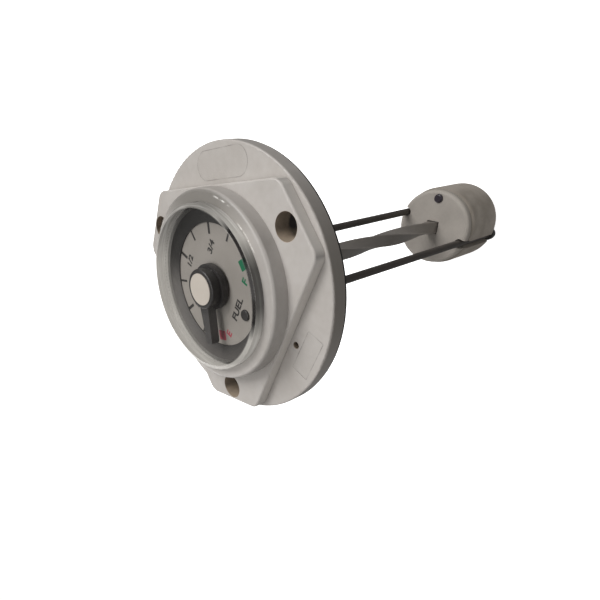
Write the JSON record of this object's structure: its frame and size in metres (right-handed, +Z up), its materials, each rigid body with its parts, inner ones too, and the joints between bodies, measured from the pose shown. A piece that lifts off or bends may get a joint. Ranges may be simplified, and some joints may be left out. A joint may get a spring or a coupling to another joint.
{
  "type": "fuel level gauge",
  "caption": "Top-mounted mechanical fuel gauge: round moulded head with a magnetic pointer dial under a clear lens, over a float that turns a twisted bar.",
  "frame": {"origin": "on the axis of the dial and the bar, at the tank face under the gasket", "axes": "+Z up along the axis, out of the tank through the dial; +Y towards the top of the dial as it is read; +X to the reader's right"},
  "size_m": [0.082, 0.082, 0.1598],
  "materials": {
    "head_white": "moulded, satin gloss",
    "gasket_black": "matt",
    "lens_clear": "clear, polished",
    "dial_silver": "satin, printed marks",
    "dial_black": "matt",
    "pointer_grey": "matt",
    "cap_cream": "moulded, smooth",
    "steel": "bright",
    "magnet": "sintered, matt",
    "cup_grey": "moulded",
    "bar_dark": "satin",
    "rod_black": "black coated",
    "foam": "closed-cell foam, fine grain",
    "lid_grey": "satin",
    "plug_dark": "smooth"
  },
  "bodies": {
    "head": {"head_moulding": "head_white", "gasket": "gasket_black", "lens": "lens_clear", "lens_seal": "gasket_black", "bezel_ring": "dial_black", "dial_plate": "dial_silver", "dial_peg": "dial_black", "pointer_spindle": "steel", "bearing_plate": "cup_grey", "guide_rod_lower": "rod_black", "guide_rod_upper": "rod_black", "end_bar": "rod_black", "rod_clips": "steel"},
    "float": {"float_body": "foam", "float_lid": "lid_grey", "float_plug": "plug_dark"},
    "bar": {"twisted_bar": "bar_dark", "bar_pivot": "steel", "magnet_cup": "cup_grey", "drive_magnet": "magnet"},
    "needle": {"pointer": "pointer_grey", "pointer_cap": "cap_cream", "pointer_magnet": "magnet"}
  },
  "joints": [
    {"name": "float_slide", "type": "slide", "parent": "head", "child": "float", "axis": [0, 0, 1], "range_m": [0, 0.0946]},
    {"name": "bar_spin", "type": "hinge", "parent": "head", "child": "bar", "pos_m": [0, 0, 0], "axis": [0, 0, -1], "range_deg": [0, 246]},
    {"name": "pointer_spin", "type": "hinge", "parent": "head", "child": "needle", "pos_m": [0, 0, 0], "axis": [0, 0, -1], "range_deg": [0, 246]}
  ],
  "couplings": [
    {"joint": "bar_spin", "follows": "float_slide", "rad_per_m": 45.385},
    {"joint": "pointer_spin", "follows": "float_slide", "rad_per_m": 45.385}
  ]
}
